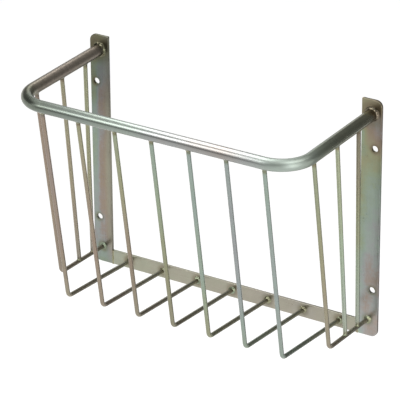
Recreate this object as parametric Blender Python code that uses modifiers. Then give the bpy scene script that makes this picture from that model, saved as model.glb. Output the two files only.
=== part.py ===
# Wall-mounted hay rack, welded from flat bar, one bent tube and round rod, zinc plated.
# X runs along the wall, Y into the wall and Z up. The backs of the flat bars lie at Y = 0.
# Heights below are from the foot of the rack. Its origin is the middle of the crossbar's back.

import math

import bmesh
import bpy
from mathutils import Matrix, Quaternion, Vector

# Wall bars and the crossbar between their feet
RACK_WIDTH = 0.540
BAR_HEIGHT = 0.410
BAR_WIDTH = 0.035
FLAT_THICKNESS = 0.005
FLAT_EDGE_RADIUS = 0.0006
BAR_CORNER_RADIUS = 0.011
CROSSBAR_HEIGHT = 0.025

# Bolt holes in the wall bars, placed by their centres
HOLE_DIAMETER = 0.011
HOLE_TO_OUTER_EDGE = 0.011
HOLE_TO_BAR_END = 0.082

# Top rail, placed by its centre line
RAIL_DIAMETER = 0.020
RAIL_WALL = 0.002
RAIL_DEPTH = 0.243
RAIL_BELOW_BAR_TOP = 0.025
RAIL_BEND_RADIUS = 0.0515

# Round rods, placed by their centre lines. The front rods share out the rail's straight
# front, and the side rods start just behind its bends.
ROD_DIAMETER = 0.007
ROD_BEND_RADIUS = 0.011
FRONT_ROD_COUNT = 7
FRONT_CORNER_DEPTH = 0.185
FRONT_CORNER_HEIGHT = 0.028
FRONT_BACK_ABOVE_MIDDLE = 0.001
SIDE_TOP_BEHIND_BEND = 0.007
SIDE_CORNER_DEPTH = 0.129
SIDE_CORNER_HEIGHT = 0.034
SIDE_BACK_HEIGHT = 0.029
MID_UPRIGHT_TOP_DEPTH = 0.113
MID_UPRIGHT_FOOT_DEPTH = 0.077
REAR_UPRIGHT_TOP_DEPTH = 0.046
REAR_UPRIGHT_FOOT_DEPTH = 0.038

# Weld metal: the leg is how far a bead spreads from the corner that it fills.
# A bead's slope is straight at a hollow of 1, bulges below that and is drawn in above it.
WELD_GAP = 0.0003
WELD_TOE = 0.0006
RAIL_WELD_LEG = 0.0036
RAIL_WELD_HOLLOW = 0.8
ROD_TOP_WELD_LEG = 0.0026
ROD_TOP_WELD_HOLLOW = 1.5
ROD_BACK_WELD_LEG = 0.003
ROD_BACK_WELD_HOLLOW = 0.9
FOOT_WELD_LEG = 0.002
FOOT_WELD_HOLLOW = 1.2
FOOT_WELD_WRAP = 0.0018
BUTT_WELD_ROOT = 0.002
BUTT_WELD_WIDTH = 0.0045
BUTT_WELD_CROWN = 0.0008

# Fineness of the round surfaces
RAIL_SIDES = 32
BORE_SIDES = 24
ROD_SIDES = 16
HOLE_SIDES = 32
RAIL_BEND_STEPS = 9
ROD_BEND_STEPS = 7
CORNER_STEPS = 6
EDGE_STEPS = 2
BEAD_STEPS = 3
CROWN_STEPS = 8
FACET_ANGLE = math.radians(35)
MERGE_DISTANCE = 1e-6
CUT_MARGIN = 0.003
SEAT_OVERLAP = 0.0015

# Colours of the passivated zinc, as red, green and blue
OLIVE = (0.30, 0.30, 0.20)
PINK_BROWN = (0.38, 0.27, 0.23)
TEAL = (0.26, 0.36, 0.31)
GREEN_GREY = (0.29, 0.34, 0.28)
BLUE_GREY = (0.27, 0.31, 0.33)
BEIGE = (0.42, 0.38, 0.30)
WELD_GREY = (0.33, 0.34, 0.29)
SATIN = 0.35
FLOWED = 0.3
GLOSSY = 0.2
FRONT_ROD_COLOURS = (PINK_BROWN, OLIVE, OLIVE, GREEN_GREY, TEAL, BLUE_GREY, TEAL)

FRONT_FACE = -FLAT_THICKNESS
RAIL_RADIUS = RAIL_DIAMETER / 2
ROD_RADIUS = ROD_DIAMETER / 2
RAIL_HEIGHT = BAR_HEIGHT - RAIL_BELOW_BAR_TOP
SIDE_X = (RACK_WIDTH - BAR_WIDTH) / 2
SIDE_TOP_DEPTH = RAIL_DEPTH - RAIL_BEND_RADIUS - SIDE_TOP_BEHIND_BEND
BAR_INNER_X = RACK_WIDTH / 2 - BAR_WIDTH
FRONT_ROD_SPAN = 2 * (SIDE_X - RAIL_BEND_RADIUS)
FRONT_BACK_HEIGHT = CROSSBAR_HEIGHT / 2 + FRONT_BACK_ABOVE_MIDDLE
ALONG_X = Vector((1, 0, 0))
ALONG_Y = Vector((0, 1, 0))
STOOD_UP = (math.pi / 2, 0, 0)
SIDES = (("left", -1), ("right", 1))


def clear_scene():
    for obj in list(bpy.data.objects):
        bpy.data.objects.remove(obj, do_unlink=True)


def new_collection(name):
    collection = bpy.data.collections.new(name)
    bpy.context.scene.collection.children.link(collection)
    return collection


def zinc(name, colour, roughness):
    """A metal surface of one colour."""
    material = bpy.data.materials.new(name)
    material.use_nodes = True
    surface = material.node_tree.nodes["Principled BSDF"]
    surface.inputs["Base Color"].default_value = (*colour, 1.0)
    surface.inputs["Metallic"].default_value = 1.0
    surface.inputs["Roughness"].default_value = roughness
    return material


def add_part(name, data, colour, roughness=SATIN, location=(0, 0, 0), rotation=(0, 0, 0)):
    """An object of the rack that stands in its collection with a material of its own."""
    if not data.materials:
        data.materials.append(None)
    obj = bpy.data.objects.new(name, data)
    rack_collection.objects.link(obj)
    obj.parent = rack_root
    obj.location = location
    obj.rotation_euler = rotation
    obj.material_slots[0].link = "OBJECT"
    obj.material_slots[0].material = zinc(name + "_zinc", colour, roughness)
    return obj


def add_cutter(name, mesh, location=(0, 0, 0), rotation=(0, 0, 0)):
    cutter = bpy.data.objects.new(name, mesh)
    cutter_collection.objects.link(cutter)
    cutter.parent = rack_root
    cutter.location = location
    cutter.rotation_euler = rotation
    cutter.hide_render = True
    cutter.display_type = "WIRE"
    return cutter


def cut(obj, cutter):
    modifier = obj.modifiers.new("Cut by " + cutter.name, "BOOLEAN")
    modifier.operation = "DIFFERENCE"
    modifier.solver = "EXACT"
    modifier.object = cutter


def curve_of(name, points, cyclic=False):
    """A curve of straight pieces through the points."""
    curve = bpy.data.curves.new(name, "CURVE")
    spline = curve.splines.new("POLY")
    spline.points.add(len(points) - 1)
    for spline_point, place in zip(spline.points, points):
        spline_point.co = (*place, 1.0)
    spline.use_cyclic_u = cyclic
    return curve


def round_bar_curve(name, points, diameter, sides):
    """A round bar along the points, closed at both ends."""
    curve = curve_of(name, points)
    curve.dimensions = "3D"
    curve.bevel_depth = diameter / 2
    curve.bevel_resolution = (sides - 4) // 2
    curve.use_fill_caps = True
    return curve


def mesh_of(curve):
    """The curve's closed mesh, with its caps joined to its sides."""
    holder = bpy.data.objects.new(curve.name, curve)
    cutter_collection.objects.link(holder)
    evaluated = holder.evaluated_get(bpy.context.evaluated_depsgraph_get())
    mesh = bpy.data.meshes.new_from_object(evaluated)
    mesh.name = curve.name
    bpy.data.objects.remove(holder)
    work = bmesh.new()
    work.from_mesh(mesh)
    bmesh.ops.remove_doubles(work, verts=work.verts, dist=MERGE_DISTANCE)
    bmesh.ops.recalc_face_normals(work, faces=work.faces)
    work.to_mesh(mesh)
    work.free()
    mesh.shade_smooth()
    mesh.set_sharp_from_angle(angle=FACET_ANGLE)
    return mesh


def plate_mesh(name, outline, thickness):
    """A flat piece with this outline in X and Y, its thickness centred on Z."""
    curve = curve_of(name, [(x, y, 0.0) for x, y in outline], cyclic=True)
    curve.dimensions = "2D"
    curve.fill_mode = "BOTH"
    curve.extrude = thickness / 2
    return mesh_of(curve)


def arc(centre, radius, start, end, steps):
    """Points on a circle in a plane, from one angle in degrees to the other."""
    angles = [math.radians(start + (end - start) * k / steps) for k in range(steps + 1)]
    return [(centre[0] + radius * math.cos(a), centre[1] + radius * math.sin(a)) for a in angles]


def rounded_corner(start, corner, end, radius, steps):
    """Points along the bend of this radius that takes the place of a corner."""
    incoming = (corner - start).normalized()
    outgoing = (end - corner).normalized()
    turn = incoming.angle(outgoing)
    first = corner - incoming * radius * math.tan(turn / 2)
    centre = corner + (outgoing - incoming).normalized() * radius / math.cos(turn / 2)
    axis = incoming.cross(outgoing).normalized()
    return [
        centre + Matrix.Rotation(turn * k / steps, 3, axis) @ (first - centre)
        for k in range(steps + 1)
    ]


def rail_path(end_y):
    """The centre line of the rail, from one end through both bends to the other."""
    left_end = Vector((-SIDE_X, end_y, RAIL_HEIGHT))
    left_corner = Vector((-SIDE_X, -RAIL_DEPTH, RAIL_HEIGHT))
    right_corner = Vector((SIDE_X, -RAIL_DEPTH, RAIL_HEIGHT))
    right_end = Vector((SIDE_X, end_y, RAIL_HEIGHT))
    left = rounded_corner(left_end, left_corner, right_corner, RAIL_BEND_RADIUS, RAIL_BEND_STEPS)
    right = rounded_corner(left_corner, right_corner, right_end, RAIL_BEND_RADIUS, RAIL_BEND_STEPS)
    return [left_end, *left, *right, right_end]


def weld_ring_mesh(name, radius, leg, hollow, reach):
    """The half section of a bead round a rod or tube, in X and Z, to be turned round Z.

    It slopes from the rod at Z = leg to its toe just above Z = 0, and its back lies reach
    below that, where a seat that is round or leaning is cut out of it."""
    inner = radius + WELD_GAP
    outer = radius + leg
    section = []
    for k in range(BEAD_STEPS + 1):
        way = k / BEAD_STEPS
        height = WELD_TOE + (leg - WELD_TOE) * (1 - way) ** hollow
        section.append((inner + (outer - inner) * way, height))
    section.append((outer, -reach))
    section.append((inner, -reach))
    mesh = bpy.data.meshes.new(name)
    edges = [(k, (k + 1) % len(section)) for k in range(len(section))]
    mesh.from_pydata([(x, 0.0, z) for x, z in section], edges, [])
    return mesh


def add_weld_ring(name, mesh, place, axis, sides):
    """A bead round a rod or tube, its axis pointing away from the seat.

    It is turned by half a facet, so that its edges and the seat's don't lie on each other."""
    half_facet = Quaternion((0, 0, 1), math.pi / sides)
    turned = (axis.to_track_quat("Z", "Y") @ half_facet).to_euler()
    obj = add_part(name, mesh, WELD_GREY, FLOWED, place, turned)
    turn = obj.modifiers.new("Turn", "SCREW")
    turn.angle = 2 * math.pi
    turn.steps = sides
    turn.render_steps = sides
    turn.use_smooth_shade = True
    return obj


def add_wall_bars():
    half = BAR_HEIGHT / 2
    outer = BAR_WIDTH / 2 - BAR_CORNER_RADIUS
    end = half - BAR_CORNER_RADIUS
    right_outline = [
        *arc((outer, -end), BAR_CORNER_RADIUS, -90, 0, CORNER_STEPS),
        *arc((outer, end), BAR_CORNER_RADIUS, 0, 90, CORNER_STEPS),
        (-BAR_WIDTH / 2, half),
        (-BAR_WIDTH / 2, -half),
    ]
    for side, sign in SIDES:
        outline = [(sign * x, y) for x, y in right_outline]
        name = side + "_wall_bar"
        bar = add_part(
            name,
            plate_mesh(name, outline, FLAT_THICKNESS),
            GREEN_GREY if sign < 0 else TEAL,
            location=(sign * SIDE_X, -FLAT_THICKNESS / 2, half),
            rotation=STOOD_UP,
        )
        ease_edges(bar)
        hole_x = sign * (RACK_WIDTH / 2 - HOLE_TO_OUTER_EDGE)
        for level, height in (("low", HOLE_TO_BAR_END), ("high", BAR_HEIGHT - HOLE_TO_BAR_END)):
            drill = round_bar_curve(
                f"{side}_{level}_bolt_hole",
                [(hole_x, FRONT_FACE - CUT_MARGIN, height), (hole_x, CUT_MARGIN, height)],
                HOLE_DIAMETER,
                HOLE_SIDES,
            )
            cut(bar, add_cutter(drill.name, mesh_of(drill)))


def ease_edges(plate):
    """The slightly rounded edges of rolled flat bar."""
    bevel = plate.modifiers.new("Rolled edges", "BEVEL")
    bevel.width = FLAT_EDGE_RADIUS
    bevel.segments = EDGE_STEPS
    bevel.limit_method = "ANGLE"
    bevel.angle_limit = FACET_ANGLE


def add_crossbar():
    end = BAR_INNER_X - BUTT_WELD_ROOT
    half = CROSSBAR_HEIGHT / 2
    outline = [(-end, -half), (end, -half), (end, half), (-end, half)]
    name = "bottom_crossbar"
    crossbar = add_part(
        name,
        plate_mesh(name, outline, FLAT_THICKNESS),
        BEIGE,
        location=(0, -FLAT_THICKNESS / 2, half),
        rotation=STOOD_UP,
    )
    ease_edges(crossbar)


def add_butt_welds():
    """Weld metal between the crossbar's ends and the wall bars, with a low crown in front."""
    root = BUTT_WELD_ROOT / 2 - WELD_GAP
    face = FRONT_FACE - WELD_GAP
    back = -FLAT_EDGE_RADIUS
    turns = [math.pi * (1 - k / CROWN_STEPS) for k in range(CROWN_STEPS + 1)]
    crown = [
        (BUTT_WELD_WIDTH / 2 * math.cos(turn), face - BUTT_WELD_CROWN * math.sin(turn))
        for turn in turns
    ]
    outline = [*crown, (root, face), (root, back), (-root, back), (-root, face)]
    for side, sign in SIDES:
        name = side + "_crossbar_weld"
        middle = sign * (BAR_INNER_X - BUTT_WELD_ROOT / 2)
        mesh = plate_mesh(name, outline, CROSSBAR_HEIGHT)
        add_part(name, mesh, WELD_GREY, FLOWED, (middle, 0, CROSSBAR_HEIGHT / 2))


def add_rail():
    """The U of tube, its bore open at both ends behind the wall bars' fronts."""
    end = FRONT_FACE - WELD_GAP
    outer = mesh_of(round_bar_curve("top_rail", rail_path(end), RAIL_DIAMETER, RAIL_SIDES))
    rail = add_part("top_rail", outer, GREEN_GREY, GLOSSY)
    bore_diameter = RAIL_DIAMETER - 2 * RAIL_WALL
    bore = round_bar_curve("rail_bore", rail_path(end + CUT_MARGIN), bore_diameter, BORE_SIDES)
    cut(rail, add_cutter("rail_bore", mesh_of(bore)))
    collar = weld_ring_mesh("rail_weld", RAIL_RADIUS, RAIL_WELD_LEG, RAIL_WELD_HOLLOW, 0.0)
    for side, sign in SIDES:
        place = Vector((sign * SIDE_X, end, RAIL_HEIGHT))
        add_weld_ring(side + "_rail_weld", collar, place, Vector((0, -1, 0)), RAIL_SIDES)


class RodEnd:
    """Where a rod's axis meets the surface that carries it, and where the rod stops short of it.

    The axis heads for a point on the carrier's centre line, or on its face if the radius is 0.
    The cosine is that of the rod's lean from square."""

    def __init__(self, point, before, carrier_radius, cosine):
        self.direction = (point - before).normalized()
        self.lean = math.sqrt(max(0.0, 1.0 - cosine * cosine)) / cosine
        to_seat = carrier_radius / cosine
        to_stop = (carrier_radius + WELD_GAP) / cosine + ROD_RADIUS * self.lean
        self.seat = point - self.direction * to_seat
        self.stop = point - self.direction * to_stop


def end_on_round(point, before, carrier_axis, carrier_radius):
    """The end of a rod that goes from before to a point on the centre line of a tube or rod."""
    heading = (point - before).normalized()
    return RodEnd(point, before, carrier_radius, heading.cross(carrier_axis).length)


def end_on_flat(point, before):
    """The end of a rod that runs back from before to a point on the front of a flat bar."""
    return RodEnd(point, before, 0.0, (point - before).normalized().y)


def add_end_weld(name, end, leg, hollow, overlap, cutter):
    """A bead round a rod's end, its back this far into the seat and then cut to it."""
    reach = overlap + (ROD_RADIUS + leg) * end.lean
    mesh = weld_ring_mesh(name, ROD_RADIUS, leg, hollow, reach)
    weld = add_weld_ring(name, mesh, end.seat, -end.direction, ROD_SIDES)
    cut(weld, cutter)


def add_top_weld(rod_name, end):
    """The bead under the rail, whose round underside rises away from the bead's toe."""
    toe = min(ROD_RADIUS + ROD_TOP_WELD_LEG, RAIL_RADIUS)
    overlap = SEAT_OVERLAP + RAIL_RADIUS - math.sqrt(RAIL_RADIUS**2 - toe**2)
    name = rod_name + "_top_weld"
    add_end_weld(name, end, ROD_TOP_WELD_LEG, ROD_TOP_WELD_HOLLOW, overlap, rail_clearance)


def add_back_weld(rod_name, end):
    """The bead where a rod's run ends on the front of a flat bar."""
    name = rod_name + "_back_weld"
    add_end_weld(name, end, ROD_BACK_WELD_LEG, ROD_BACK_WELD_HOLLOW, SEAT_OVERLAP, flat_clearance)


def add_foot_weld(rod_name, end, run_clearance):
    """The bead that saddles the run under an upright's foot."""
    name = rod_name + "_foot_weld"
    add_end_weld(name, end, FOOT_WELD_LEG, FOOT_WELD_HOLLOW, FOOT_WELD_WRAP, run_clearance)


def add_bent_rod(name, top, corner, back, rail_axis, colour):
    """An L-shaped rod in a plane across the rack, with the beads at both of its ends."""
    upper = end_on_round(top, corner, rail_axis, RAIL_RADIUS)
    rear = end_on_flat(back, corner)
    bend = rounded_corner(upper.stop, corner, rear.stop, ROD_BEND_RADIUS, ROD_BEND_STEPS)
    origin = Vector((corner.x, 0, 0))
    path = [place - origin for place in (upper.stop, *bend, rear.stop)]
    curve = round_bar_curve(name, path, ROD_DIAMETER, ROD_SIDES)
    add_part(name, curve, colour, location=origin)
    add_top_weld(name, upper)
    add_back_weld(name, rear)


def add_front_rods():
    pitch = FRONT_ROD_SPAN / (FRONT_ROD_COUNT - 1)
    for number in range(FRONT_ROD_COUNT):
        x = number * pitch - FRONT_ROD_SPAN / 2
        add_bent_rod(
            f"front_rod_{number + 1}",
            Vector((x, -RAIL_DEPTH, RAIL_HEIGHT)),
            Vector((x, -FRONT_CORNER_DEPTH, FRONT_CORNER_HEIGHT)),
            Vector((x, FRONT_FACE, FRONT_BACK_HEIGHT)),
            ALONG_X,
            FRONT_ROD_COLOURS[number % len(FRONT_ROD_COLOURS)],
        )


def side_run(sign):
    """The two ends of the low run of a side rod: its corner and its end on the wall bar."""
    corner = Vector((sign * SIDE_X, -SIDE_CORNER_DEPTH, SIDE_CORNER_HEIGHT))
    back = Vector((sign * SIDE_X, FRONT_FACE, SIDE_BACK_HEIGHT))
    return corner, back


def add_side_rods():
    for side, sign in SIDES:
        corner, back = side_run(sign)
        top = Vector((corner.x, -SIDE_TOP_DEPTH, RAIL_HEIGHT))
        colour = OLIVE if sign > 0 else BEIGE
        add_bent_rod(side + "_side_rod", top, corner, back, ALONG_Y, colour)


def add_upright(name, run, top_depth, foot_depth, colour, run_clearance):
    """A straight rod from the side of the rail down to the run of the side rod."""
    corner, back = run
    foot = corner.lerp(back, (-foot_depth - corner.y) / (back.y - corner.y))
    top = Vector((corner.x, -top_depth, RAIL_HEIGHT))
    upper = end_on_round(top, foot, ALONG_Y, RAIL_RADIUS)
    lower = end_on_round(foot, top, (back - corner).normalized(), ROD_RADIUS)
    origin = Vector((corner.x, 0, 0))
    path = [upper.stop - origin, lower.stop - origin]
    curve = round_bar_curve(name, path, ROD_DIAMETER, ROD_SIDES)
    add_part(name, curve, colour, location=origin)
    add_top_weld(name, upper)
    add_foot_weld(name, lower, run_clearance)


def add_uprights():
    uprights = (
        ("mid", MID_UPRIGHT_TOP_DEPTH, MID_UPRIGHT_FOOT_DEPTH, GREEN_GREY),
        ("rear", REAR_UPRIGHT_TOP_DEPTH, REAR_UPRIGHT_FOOT_DEPTH, BEIGE),
    )
    for side, sign in SIDES:
        run = side_run(sign)
        run_clearance = make_clearance(side + "_run_clearance", run, ROD_DIAMETER)
        for place, top_depth, foot_depth, colour in uprights:
            name = f"{side}_{place}_upright"
            add_upright(name, run, top_depth, foot_depth, colour, run_clearance)


def make_clearance(name, path, diameter):
    """The space of a tube or rod with the weld gap added, which shapes the beads on it."""
    curve = round_bar_curve(name, path, diameter + 2 * WELD_GAP, RAIL_SIDES)
    return add_cutter(name, mesh_of(curve))


def make_flat_clearance():
    """The space of the flat bars with the weld gap added in front of them."""
    half = RACK_WIDTH / 2
    outline = [(-half, 0), (half, 0), (half, BAR_HEIGHT), (-half, BAR_HEIGHT)]
    depth = FLAT_THICKNESS + WELD_GAP + CUT_MARGIN
    mesh = plate_mesh("flat_clearance", outline, depth)
    place = (0, FRONT_FACE - WELD_GAP + depth / 2, 0)
    return add_cutter("flat_clearance", mesh, place, STOOD_UP)


clear_scene()
rack_collection = new_collection("hay_rack")
cutter_collection = new_collection("hay_rack_cutters")
rack_root = bpy.data.objects.new("hay_rack_root", None)
rack_collection.objects.link(rack_root)
rack_root.location = (0, 0, -CROSSBAR_HEIGHT / 2)

rail_clearance = make_clearance("rail_clearance", rail_path(FRONT_FACE), RAIL_DIAMETER)
flat_clearance = make_flat_clearance()
add_wall_bars()
add_crossbar()
add_butt_welds()
add_rail()
add_front_rods()
add_side_rods()
add_uprights()
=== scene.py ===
# Wall-mounted hay rack of welded steel, zinc plated and passivated.
# Metres, in the frame's own axes: X along the wall, Y into the wall, Z up.
import math

import bpy
import numpy as np
from mathutils import Matrix, Quaternion, Vector


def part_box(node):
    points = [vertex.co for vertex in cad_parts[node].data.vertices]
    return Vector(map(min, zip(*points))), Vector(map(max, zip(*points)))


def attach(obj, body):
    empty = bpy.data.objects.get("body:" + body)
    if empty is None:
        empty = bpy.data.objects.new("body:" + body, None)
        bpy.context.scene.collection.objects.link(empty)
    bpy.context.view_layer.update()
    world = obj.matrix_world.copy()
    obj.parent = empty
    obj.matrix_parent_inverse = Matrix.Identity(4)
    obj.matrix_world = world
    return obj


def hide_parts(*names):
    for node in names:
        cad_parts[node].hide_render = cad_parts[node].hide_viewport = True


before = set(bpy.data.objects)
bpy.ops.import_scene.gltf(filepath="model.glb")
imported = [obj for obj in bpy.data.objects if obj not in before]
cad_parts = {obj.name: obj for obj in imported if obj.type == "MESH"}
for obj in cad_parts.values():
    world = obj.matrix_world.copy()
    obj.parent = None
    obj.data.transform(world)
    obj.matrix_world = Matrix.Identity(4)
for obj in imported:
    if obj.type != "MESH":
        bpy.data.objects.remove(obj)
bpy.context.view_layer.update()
print("frame loaded,", len(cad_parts), "nodes")

fullTurn = 2 * math.pi
along = {"x": np.array((1.0, 0, 0)), "y": np.array((0, 1.0, 0)), "z": np.array((0, 0, 1.0))}


def unit(vectors):
    # vectors divided by their lengths
    vectors = np.asarray(vectors, float)
    return vectors / np.linalg.norm(vectors, axis=-1, keepdims=True)


def boxOf(node):
    low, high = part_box(node)
    return np.array(low), np.array(high)


def gridQuads(rows, columns, closedRows=False):
    # four corners for each cell of a grid whose columns run round and meet
    row = np.arange(rows if closedRows else rows - 1)[:, None]
    column = np.arange(columns)[None, :]
    nextRow, nextColumn = (row + 1) % rows, (column + 1) % columns
    corners = (
        row * columns + column,
        row * columns + nextColumn,
        nextRow * columns + nextColumn,
        nextRow * columns + column,
    )
    return np.stack(np.broadcast_arrays(*corners), axis=-1).reshape(-1, 4)


def cappedQuads(rows, columns):
    # the same for a solid bar, with one flat face over its first row and one over its last
    end = np.arange(columns)[None]
    return [gridQuads(rows, columns), end[:, ::-1], (rows - 1) * columns + end]


def signedVolume(points, quads):
    # a sixth of the sum of a . (b x c) over the triangles, above zero when faces point outwards
    a, b, c, d = (points[quads[:, k]] for k in range(4))
    return (np.einsum("ij,ij->i", a, np.cross(b, c)) + np.einsum("ij,ij->i", a, np.cross(c, d))).sum() / 6


def bentPath(corners, bendRadius, spacing):
    # Straight runs joined by arcs. A corner that turns by t is cut back by radius * tan(t / 2), and
    # the arc runs from there as start + radius * (sin a * heading + (1 - cos a) * inward), a in 0..t.
    corners = np.asarray(corners, float)
    headings = unit(np.diff(corners, axis=0))
    places, tangents, start = [], [], corners[0]
    for corner, before, after in zip(corners[1:-1], headings[:-1], headings[1:]):
        turn = math.acos(before @ after)
        cutBack = bendRadius * math.tan(turn / 2)
        first = corner - before * cutBack
        inward = unit(after - (after @ before) * before)
        angle = np.linspace(0, turn, 2 + round(bendRadius * turn / spacing))[:, None]
        count = 1 + math.ceil(np.linalg.norm(first - start) / spacing)
        straight = np.linspace(0, 1, count, endpoint=False)[:, None]
        places.append(start + straight * (first - start))
        tangents.append(np.repeat(before[None], count, axis=0))
        places.append(first + bendRadius * (np.sin(angle) * before + (1 - np.cos(angle)) * inward))
        tangents.append(np.cos(angle) * before + np.sin(angle) * inward)
        start = corner + after * cutBack
    count = 1 + math.ceil(np.linalg.norm(corners[-1] - start) / spacing)
    straight = np.linspace(0, 1, count + 1)[1:, None]
    places.append(start + straight * (corners[-1] - start))
    tangents.append(np.repeat(headings[-1:], count, axis=0))
    return np.concatenate(places), np.concatenate(tangents)


def lengthAlong(path):
    steps = np.linalg.norm(np.diff(path, axis=0), axis=1)
    return np.concatenate([[0.0], np.cumsum(steps)])


def ringsAlong(path, tangents, planeNormal, radius, sides):
    # centre + radius * (cos a * planeNormal + sin a * (tangent x planeNormal)), a ring for each point
    angle = np.linspace(0, fullTurn, sides, endpoint=False)
    across = np.cross(tangents, planeNormal)
    ring = np.cos(angle)[None, :, None] * planeNormal + np.sin(angle)[None, :, None] * across[:, None, :]
    return path[:, None, :] + radius * ring


# stains: every weld and every bolt hole marks the metal round it
stains = []  # place, how far its own metal reaches, how far the stain fades beyond that
depthStretch = np.array((1.0, 1.8, 1.0))  # depth counts for more, so stains are fainter on the backs


def stainAt(points):
    # the strongest stain's exp(-(distance beyond its reach / fade) squared)
    places, reaches, fades = (np.array(part) for part in zip(*stains))
    distance = np.linalg.norm((points[:, None, :] - places[None]) * depthStretch, axis=-1) - reaches
    return np.exp(-((np.maximum(distance, 0) / fades) ** 2)).max(axis=1)


# What every point carries unless its piece says otherwise: how thick the film is, its painted light and
# shade as a lightness, how far the film is rubbed off, how scuffed the gloss is and how soft
plainMarks = {"film": 0.0, "paintedShading": 1.0, "bare": 0.0, "scuff": 0.0, "soft": 0.0}


def addPiece(name, node, points, faces, slot, grain, marks, sharp=40):
    # A finished mesh that stands for one node, with its marks and its grain on its points. Edges that
    # turn by more than sharp, in degrees, aren't smoothed.
    points = points.reshape(-1, 3)
    polygons = [face for part in faces for face in part.tolist()]
    if signedVolume(points, faces[0]) < 0:
        polygons = [face[::-1] for face in polygons]
    mesh = bpy.data.meshes.new(name)
    mesh.from_pydata(points.tolist(), [], polygons)
    for label, values in {**plainMarks, "stain": stainAt(points), **marks}.items():
        layer = mesh.attributes.new(label, "FLOAT", "POINT")
        values = np.broadcast_to(values, len(points))
        layer.data.foreach_set("value", np.ascontiguousarray(values, dtype=np.float32))
    layer = mesh.attributes.new("grain", "FLOAT_VECTOR", "POINT")
    layer.data.foreach_set("vector", np.ascontiguousarray(grain, dtype=np.float32).ravel())
    mesh.shade_smooth()
    mesh.set_sharp_from_angle(angle=math.radians(sharp))
    mesh.materials.append(zinc[slot])
    mesh.validate()
    piece = bpy.data.objects.new(name, mesh)
    bpy.context.scene.collection.objects.link(piece)
    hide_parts(node)
    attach(piece, "root")


# Colours of the passivation film by its thickness, as one turn of the interference colours
filmColours = (
    (0.00, (0.305, 0.305, 0.198)),  # olive
    (0.13, (0.320, 0.283, 0.206)),  # beige
    (0.27, (0.296, 0.235, 0.184)),  # pink brown
    (0.40, (0.295, 0.250, 0.232)),  # mauve
    (0.53, (0.300, 0.315, 0.318)),  # slate
    (0.67, (0.292, 0.352, 0.314)),  # teal
    (0.83, (0.290, 0.342, 0.252)),  # green
    (1.00, (0.305, 0.305, 0.198)),  # olive again
)

# Finishes, one for each slot of the record. Drift, fleck and stainShift move the film's thickness,
# streak, speckle, cloud and stainDark the lightness, and stain is how far a stain covers the colour.
finishes = {
    "zinc_flat_bar": {
        "tint": 1.0, "silver": (0.34, 0.34, 0.30), "vivid": 1.25, "roughness": 0.30,
        "roughnessDrift": 0.14, "drift": 0.55, "driftScale": 24, "fleck": 0.26, "speckle": 0.24,
        "streak": 0.22, "cloud": 0.28, "stainShift": 0.12, "stainDark": 0.26, "stain": 0.60, "bump": 0.10,
    },
    "zinc_tube": {
        "tint": 0.62, "silver": (0.33, 0.33, 0.31), "vivid": 1.15, "roughness": 0.20,
        "roughnessDrift": 0.06, "drift": 0.30, "driftScale": 11, "fleck": 0.05, "speckle": 0.06,
        "streak": 0.08, "cloud": 0.12, "stainShift": 0.20, "stainDark": 0.40, "stain": 0.60, "bump": 0.05,
    },
    "zinc_rod": {
        "tint": 1.0, "silver": (0.33, 0.33, 0.28), "vivid": 1.0, "roughness": 0.27,
        "roughnessDrift": 0.10, "drift": 0.20, "driftScale": 20, "fleck": 0.08, "speckle": 0.16,
        "streak": 0.16, "cloud": 0.14, "stainShift": 0.15, "stainDark": 0.35, "stain": 0.50, "bump": 0.08,
    },
    "zinc_weld": {
        "tint": 0.80, "silver": (0.34, 0.34, 0.29), "vivid": 1.2, "roughness": 0.14,
        "roughnessDrift": 0.10, "drift": 0.35, "driftScale": 120, "fleck": 0.16, "speckle": 0.30,
        "streak": 0.10, "cloud": 0.90, "stainShift": 0.0, "stainDark": 0.0, "stain": 0.0, "bump": 0.16,
    },
}
stainColour = (0.235, 0.200, 0.115)  # olive brown
stainPatches = (1.4, 0.1)  # a stain is as strong as cloud noise times the first, plus the second
scuffRoughness, scuffMarks = 0.17, 0.80  # what a full scuff adds to the roughness and to the tone
softRoughness = 0.20  # and what full softness adds to the roughness
bumpDepth = 0.0002
grainStretch = 0.02  # how much a length along a piece counts, so that streaks run along it
scratchStretch = (1 / grainStretch, 0.35, 0.35)  # the other way round, so that scratches run across

# Noises on the metal: scale per metre, detail and roughness. The drift's scale is in its finish.
noises = {
    "drift": (3.0, 0.55),
    "fleck": (210.0, 3.0, 0.60),
    "speckle": (620.0, 2.0, 0.60),
    "cloud": (45.0, 4.0, 0.60),
    "pits": (900.0, 2.0, 0.50),
    "streak": (700.0, 3.0, 0.60),
    "scratch": (330.0, 3.0, 0.65),
}


def addNode(tree, kind, settings=None, inputs=None):
    # a node with its settings and its inputs, each a value or another node's output
    node = tree.nodes.new(kind)
    for name, value in (settings or {}).items():
        setattr(node, name, value)
    for key, value in (inputs or {}).items():
        if isinstance(value, bpy.types.NodeSocket):
            tree.links.new(value, node.inputs[key])
        else:
            node.inputs[key].default_value = value
    return node


def mathOf(tree, operation, first, second=0.0, third=0.0):
    inputs = {0: first, 1: second, 2: third}
    return addNode(tree, "ShaderNodeMath", {"operation": operation}, inputs).outputs[0]


def noiseOf(tree, vector, scale, detail, roughness):
    inputs = {"Vector": vector, "Scale": scale, "Detail": detail, "Roughness": roughness}
    return addNode(tree, "ShaderNodeTexNoise", None, inputs).outputs["Fac"]


def centred(tree, value, amount):
    # (value - a half) * amount
    return mathOf(tree, "MULTIPLY_ADD", value, amount, -amount / 2)


def mixOf(tree, factor, first, second):
    # a blend of two colours, each a value or another node's output
    mix = addNode(tree, "ShaderNodeMix", {"data_type": "RGBA"}, {"Factor": factor})
    for key, value in ((6, first), (7, second)):
        if isinstance(value, bpy.types.NodeSocket):
            tree.links.new(value, mix.inputs[key])
        else:
            mix.inputs[key].default_value = (*value, 1.0)
    return mix.outputs[2]


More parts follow.
